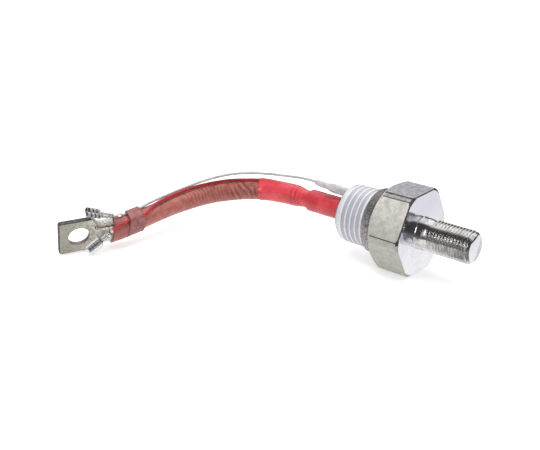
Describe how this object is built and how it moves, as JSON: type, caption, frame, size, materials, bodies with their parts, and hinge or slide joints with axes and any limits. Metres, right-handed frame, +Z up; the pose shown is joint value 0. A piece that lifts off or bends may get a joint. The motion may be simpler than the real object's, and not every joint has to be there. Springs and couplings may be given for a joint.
{
  "type": "thyristor",
  "caption": "Stud-mounted power thyristor with a hexagonal base, ribbed ceramic housing, flexible cathode lead with cable lug, and gate and auxiliary wires on push-on receptacles.",
  "frame": {"origin": "centre of the seating face of the hexagonal base, on the stud's axis", "axes": "+X along the stud away from the housing, +Z up with the part lying on one flat of its hexagon, +Y across; the lead leaves along -X and curves towards -Y"},
  "size_m": [0.1405, 0.1028, 0.032],
  "materials": {
    "nickel_plated_copper": "satin nickel plate on copper, a little mottled",
    "plated_steel": "dull nickel plate on steel",
    "alumina": "white, glossy",
    "cap_alloy": "satin",
    "tube_copper": "satin nickel plate on copper",
    "molybdenum": "ground",
    "silicon": "polished, dark grey",
    "copper": "bare copper",
    "white_ptfe": "matt white",
    "mica": "sheet mica",
    "spring_steel": "oiled spring steel",
    "clamp_steel": "zinc-plated steel",
    "copper_rope": "fine bare copper strands",
    "red_silicone": "dull, slightly wrinkled",
    "red_shrink": "semi-gloss heat-shrink",
    "tinned_copper": "tin plate, mottled by handling",
    "grey_shrink": "cloudy heat-shrink",
    "white_insulation": "satin white insulation",
    "red_insulation": "satin red insulation",
    "tinned_brass": "tin plate on brass sheet"
  },
  "bodies": {
    "root": {"stud_base": "nickel_plated_copper", "weld_ring": "plated_steel", "cap_skirt": "plated_steel", "ceramic_housing": "alumina", "top_cap": "cap_alloy", "cathode_tube": "tube_copper", "gate_tube": "cap_alloy", "anode_disc": "molybdenum", "silicon_wafer": "silicon", "cathode_disc": "molybdenum", "centring_ring": "white_ptfe", "cathode_contact": "copper", "gate_pin": "molybdenum", "gate_bush": "white_ptfe", "gate_lead": "copper", "gate_lead_sleeve": "white_ptfe", "mica_ring": "mica", "thrust_washer": "clamp_steel", "disc_spring_lower": "spring_steel", "disc_spring_middle": "spring_steel", "disc_spring_upper": "spring_steel", "retaining_ring": "clamp_steel", "clamp_cup": "clamp_steel", "lead_rope": "copper_rope", "lead_sleeve": "red_silicone", "housing_shrink": "red_shrink", "binding_band": "red_silicone", "cable_lug": "tinned_copper", "gate_shrink": "grey_shrink", "gate_wire": "white_insulation", "cathode_wire": "red_insulation", "gate_terminal": "tinned_brass", "cathode_terminal": "tinned_brass"}
  },
  "joints": []
}
